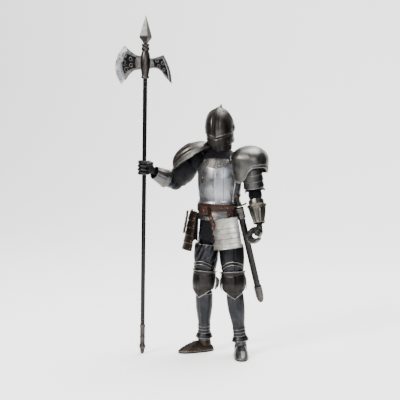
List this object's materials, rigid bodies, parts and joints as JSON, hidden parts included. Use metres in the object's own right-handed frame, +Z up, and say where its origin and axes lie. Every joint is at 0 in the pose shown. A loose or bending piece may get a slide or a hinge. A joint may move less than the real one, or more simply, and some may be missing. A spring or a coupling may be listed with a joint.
{
  "type": "action figure",
  "caption": "Jointed sixth-scale armoured knight figure that stands on its feet, with a lifting visor, a pole-axe held in one fist and a sword in a scabbard.",
  "frame": {"origin": "middle of the bounding box, on the ground the figure stands on", "axes": "+Z up, the figure looks towards -Y, its left hand is on the +X side"},
  "size_m": [0.1816, 0.0762, 0.417],
  "materials": {
    "skin_plastic": "satin",
    "joint_plastic": "matte",
    "weathered_steel": "brushed and worn",
    "bright_steel": "polished",
    "dark_steel": "dark, worn",
    "mail": "dark mail",
    "leather": "worn",
    "black_leather": "worn",
    "black_shaft": "gloss",
    "scabbard_leather": "gloss"
  },
  "bodies": {
    "pelvis": {"pelvis_core": "joint_plastic", "fauld": "weathered_steel", "belt": "leather", "mail_brayette": "mail", "belt_buckle": "black_leather", "belt_pouch": "leather", "scabbard": "scabbard_leather", "scabbard_locket": "weathered_steel", "scabbard_chape": "weathered_steel"},
    "torso": {"torso_core": "joint_plastic", "breast_plate": "bright_steel", "back_plate": "dark_steel", "gorget_plate": "bright_steel", "mail_collar": "mail"},
    "neck": {"neck_post": "joint_plastic"},
    "head": {"head": "skin_plastic", "helmet_skull": "dark_steel", "bevor": "dark_steel"},
    "visor": {"visor": "weathered_steel"},
    "left_pauldron": {"left_pauldron": "weathered_steel"},
    "right_pauldron": {"right_pauldron": "weathered_steel"},
    "left_tasset": {"left_tasset": "bright_steel"},
    "right_tasset": {"right_tasset": "dark_steel", "hanging_strap": "leather"},
    "poleaxe": {"pole_shaft": "black_shaft", "pole_butt": "weathered_steel", "axe_head": "weathered_steel", "spear_point": "bright_steel"},
    "sword": {"sword": "bright_steel"},
    "left_shoulder_ball": {"left_shoulder_ball": "joint_plastic"},
    "left_upper_arm": {"left_upper_arm": "mail", "left_arm_lame_1": "weathered_steel", "left_arm_lame_2": "weathered_steel", "left_arm_lame_3": "weathered_steel"},
    "left_forearm": {"left_forearm": "mail", "left_vambrace": "weathered_steel", "left_gauntlet_cuff": "weathered_steel"},
    "left_hand": {"left_hand": "weathered_steel"},
    "left_thigh": {"left_thigh": "mail", "left_cuisse": "dark_steel"},
    "left_shin": {"left_shin": "joint_plastic", "left_greave": "dark_steel"},
    "left_poleyn": {"left_poleyn": "dark_steel"},
    "left_foot": {"left_sabaton": "weathered_steel", "left_sole": "black_leather"},
    "right_shoulder_ball": {"right_shoulder_ball": "joint_plastic"},
    "right_upper_arm": {"right_upper_arm": "mail", "right_mail_sleeve": "mail"},
    "right_forearm": {"right_forearm": "mail", "right_vambrace": "dark_steel", "right_gauntlet_cuff": "bright_steel"},
    "right_hand": {"right_hand": "black_leather"},
    "right_thigh": {"right_thigh": "mail", "right_cuisse": "dark_steel"},
    "right_shin": {"right_shin": "joint_plastic", "right_greave": "dark_steel"},
    "right_poleyn": {"right_poleyn": "dark_steel"},
    "right_foot": {"right_sabaton": "weathered_steel", "right_sole": "black_leather"}
  },
  "joints": [
    {"name": "waist_turn", "type": "hinge", "parent": "pelvis", "child": "torso", "pos_m": [0.02879, 0.00283, 0.18102], "axis": [0, 0, 1], "range_deg": [-15, 15]},
    {"name": "neck_turn", "type": "hinge", "parent": "torso", "child": "neck", "pos_m": [0.02879, 0.00383, 0.24802], "axis": [0, 0, 1], "range_deg": [-35, 35]},
    {"name": "head_nod", "type": "hinge", "parent": "neck", "child": "head", "pos_m": [0.02929, 0.00283, 0.26702], "axis": [0.9986, 0.0523, 0], "range_deg": [-6, 5]},
    {"name": "visor_raise", "type": "hinge", "parent": "head", "child": "visor", "pos_m": [0.02979, 0.00083, 0.28102], "axis": [-0.9986, -0.0523, 0], "range_deg": [0, 24]},
    {"name": "right_shoulder_swing", "type": "hinge", "parent": "torso", "child": "right_shoulder_ball", "pos_m": [-0.00321, 0.00383, 0.24402], "axis": [-0.9397, 0.342, 0], "range_deg": [-10, 16]},
    {"name": "right_shoulder_raise", "type": "hinge", "parent": "right_shoulder_ball", "child": "right_upper_arm", "pos_m": [-0.00321, 0.00383, 0.24402], "axis": [0, 1, 0], "range_deg": [-2, 15]},
    {"name": "right_pauldron_lift", "type": "hinge", "parent": "torso", "child": "right_pauldron", "pos_m": [0.01279, 0.00383, 0.25602], "axis": [0, 1, 0], "range_deg": [-3, 14]},
    {"name": "right_elbow", "type": "hinge", "parent": "right_upper_arm", "child": "right_forearm", "pos_m": [-0.03121, 0.01083, 0.21102], "axis": [-0.4964, 0.662, 0.5616], "range_deg": [-8, 0]},
    {"name": "right_wrist", "type": "hinge", "parent": "right_forearm", "child": "right_hand", "pos_m": [-0.05021, -0.01597, 0.22582], "axis": [-0.8116, 0.584, 0.0155], "range_deg": [-8, 8]},
    {"name": "right_hip", "type": "hinge", "parent": "pelvis", "child": "right_thigh", "pos_m": [0.01429, 0.00283, 0.15002], "axis": [-1, 0, 0], "range_deg": [-8, 35]},
    {"name": "right_tasset_lift", "type": "hinge", "parent": "pelvis", "child": "right_tasset", "pos_m": [0.00079, -0.01417, 0.17602], "axis": [-0.6222, 0.7828, 0], "range_deg": [-5, 21]},
    {"name": "right_knee", "type": "hinge", "parent": "right_thigh", "child": "right_shin", "pos_m": [0.01029, -0.00117, 0.08902], "axis": [0.9924, -0.1085, -0.058], "range_deg": [0, 52]},
    {"name": "right_poleyn_turn", "type": "hinge", "parent": "right_thigh", "child": "right_poleyn", "pos_m": [0.01029, -0.00117, 0.08902], "axis": [0.9924, -0.1085, -0.058], "range_deg": [0, 26]},
    {"name": "right_ankle", "type": "hinge", "parent": "right_shin", "child": "right_foot", "pos_m": [0.00739, 0.00883, 0.01502], "axis": [0.6157, -0.788, 0], "range_deg": [-8, 8]},
    {"name": "left_shoulder_swing", "type": "hinge", "parent": "torso", "child": "left_shoulder_ball", "pos_m": [0.06629, 0.00383, 0.24402], "axis": [-0.9397, -0.342, 0], "range_deg": [-2, 35]},
    {"name": "left_shoulder_raise", "type": "hinge", "parent": "left_shoulder_ball", "child": "left_upper_arm", "pos_m": [0.06629, 0.00383, 0.24402], "axis": [0, -1, 0], "range_deg": [0, 20]},
    {"name": "left_pauldron_lift", "type": "hinge", "parent": "torso", "child": "left_pauldron", "pos_m": [0.04479, 0.00383, 0.25402], "axis": [0, -1, 0], "range_deg": [-2, 18]},
    {"name": "left_elbow", "type": "hinge", "parent": "left_upper_arm", "child": "left_forearm", "pos_m": [0.07179, 0.01083, 0.19902], "axis": [-0.9601, -0.2335, -0.1537], "range_deg": [-2, 50]},
    {"name": "left_wrist", "type": "hinge", "parent": "left_forearm", "child": "left_hand", "pos_m": [0.08039, -0.00117, 0.16352], "axis": [0.9601, 0.2335, 0.1537], "range_deg": [-15, 4]},
    {"name": "left_hip", "type": "hinge", "parent": "pelvis", "child": "left_thigh", "pos_m": [0.04279, 0.00283, 0.15002], "axis": [-1, 0, 0], "range_deg": [-8, 35]},
    {"name": "left_tasset_lift", "type": "hinge", "parent": "pelvis", "child": "left_tasset", "pos_m": [0.04029, -0.02177, 0.16702], "axis": [-1, 0, 0], "range_deg": [-5, 21]},
    {"name": "left_knee", "type": "hinge", "parent": "left_thigh", "child": "left_shin", "pos_m": [0.04859, -0.00317, 0.08902], "axis": [0.9523, 0.2989, 0.0611], "range_deg": [0, 52]},
    {"name": "left_poleyn_turn", "type": "hinge", "parent": "left_thigh", "child": "left_poleyn", "pos_m": [0.04859, -0.00317, 0.08902], "axis": [0.9523, 0.2989, 0.0611], "range_deg": [0, 26]},
    {"name": "left_ankle", "type": "hinge", "parent": "left_shin", "child": "left_foot", "pos_m": [0.05639, 0.00283, 0.01502], "axis": [0.9563, 0.2924, 0], "range_deg": [-8, 8]},
    {"name": "pole_slide", "type": "slide", "parent": "right_hand", "child": "poleaxe", "axis": [0.0175, 0, 0.9998], "range_m": [0, 0.08]},
    {"name": "sword_draw", "type": "slide", "parent": "pelvis", "child": "sword", "axis": [-0.1222, -0.3622, 0.924], "range_m": [0, 0.11]}
  ],
  "couplings": [
    {"joint": "right_pauldron_lift", "follows": "right_shoulder_raise", "ratio": 0.55},
    {"joint": "right_tasset_lift", "follows": "right_hip", "ratio": 0.6},
    {"joint": "right_poleyn_turn", "follows": "right_knee", "ratio": 0.5},
    {"joint": "left_pauldron_lift", "follows": "left_shoulder_raise", "ratio": 0.55},
    {"joint": "left_tasset_lift", "follows": "left_hip", "ratio": 0.6},
    {"joint": "left_poleyn_turn", "follows": "left_knee", "ratio": 0.5}
  ]
}
